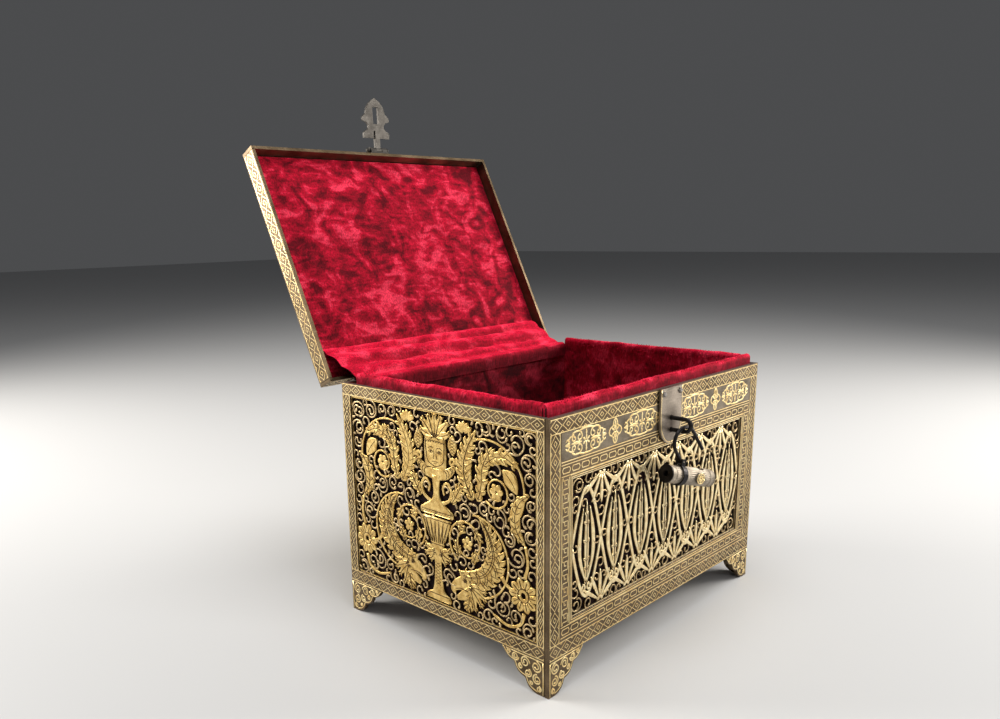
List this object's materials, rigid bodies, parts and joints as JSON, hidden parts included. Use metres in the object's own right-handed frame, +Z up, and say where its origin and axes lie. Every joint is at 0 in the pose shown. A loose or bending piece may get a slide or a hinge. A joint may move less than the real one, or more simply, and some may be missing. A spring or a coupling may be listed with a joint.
{
  "type": "jewellery casket",
  "caption": "Lidded steel jewellery casket on bracket feet, with pierced gilt panels, a red velvet lining, a hinged hasp and a barrel padlock hanging open on its staple.",
  "frame": {"origin": "on the floor, under the middle of the open casket's bounding box", "axes": "+Z up, +X to the right along the front wall, +Y from the front wall to the back"},
  "size_m": [0.205, 0.2584, 0.3124],
  "materials": {
    "browned_steel": "browned steel inlaid with gold lines",
    "gilt_openwork": "pierced steel sheet, gilded",
    "bare_steel": "worn bare steel",
    "black_iron": "blackened iron",
    "barrel_steel": "filed grey steel",
    "gold": "pale gold",
    "maroon_board": "dark board",
    "red_velvet": "crushed red velvet"
  },
  "bodies": {
    "casket": {"front_wall": "browned_steel", "back_wall": "browned_steel", "left_wall": "browned_steel", "right_wall": "browned_steel", "front_openwork": "gilt_openwork", "back_openwork": "gilt_openwork", "left_openwork": "gilt_openwork", "right_openwork": "gilt_openwork", "bottom_plate": "bare_steel", "floor_board": "maroon_board", "floor_velvet": "red_velvet", "front_liner_board": "maroon_board", "back_liner_board": "maroon_board", "left_liner_board": "maroon_board", "right_liner_board": "maroon_board", "front_velvet": "red_velvet", "back_velvet": "red_velvet", "left_velvet": "red_velvet", "right_velvet": "red_velvet", "velvet_gusset": "red_velvet", "lock_plate": "bare_steel", "lock_plate_rivet_1": "bare_steel", "lock_plate_rivet_2": "bare_steel", "staple": "black_iron", "left_hinge_wall_leaf": "bare_steel", "right_hinge_wall_leaf": "bare_steel", "left_hinge_pin": "bare_steel", "right_hinge_pin": "bare_steel", "left_hinge_wall_rivet_1": "bare_steel", "left_hinge_wall_rivet_2": "bare_steel", "right_hinge_wall_rivet_1": "bare_steel", "right_hinge_wall_rivet_2": "bare_steel"},
    "lid": {"lid_front_skirt": "browned_steel", "lid_back_skirt": "browned_steel", "lid_left_skirt": "browned_steel", "lid_right_skirt": "browned_steel", "lid_top": "browned_steel", "lid_openwork": "gilt_openwork", "lid_board": "maroon_board", "lid_velvet": "red_velvet", "left_hinge_lid_leaf": "bare_steel", "right_hinge_lid_leaf": "bare_steel", "left_hinge_lid_rivet_1": "bare_steel", "left_hinge_lid_rivet_2": "bare_steel", "right_hinge_lid_rivet_1": "bare_steel", "right_hinge_lid_rivet_2": "bare_steel", "hasp_bracket": "bare_steel", "hasp_pin": "bare_steel"},
    "hasp": {"hasp": "bare_steel"},
    "shackle": {"padlock_shackle": "black_iron"},
    "padlock": {"padlock_barrel": "barrel_steel", "padlock_key_cap": "barrel_steel", "padlock_end_cap": "barrel_steel", "padlock_collar": "black_iron", "padlock_pivot_pin": "bare_steel", "padlock_medallion": "gold", "padlock_bolt": "bare_steel", "padlock_lower_spring": "bare_steel", "padlock_upper_spring": "bare_steel"}
  },
  "joints": [
    {"name": "lid_hinge", "type": "hinge", "parent": "casket", "child": "lid", "pos_m": [0, 0.04681, 0.1365], "axis": [1, 0, 0], "range_deg": [0, 116], "deforming": ["velvet_gusset"]},
    {"name": "hasp_hinge", "type": "hinge", "parent": "lid", "child": "hasp", "pos_m": [0, 0.12333, 0.27786], "axis": [1, 0, 0], "range_deg": [0, 67]},
    {"name": "shackle_swing", "type": "hinge", "parent": "casket", "child": "shackle", "pos_m": [0, -0.12019, 0.1192], "axis": [0.9781, -0.2079, 0], "range_deg": [-75, 3]},
    {"name": "barrel_pivot", "type": "hinge", "parent": "shackle", "child": "padlock", "pos_m": [-0.00229, -0.1197, 0.10087], "axis": [0.2079, 0.9781, 0], "range_deg": [-49.5, 0]}
  ]
}
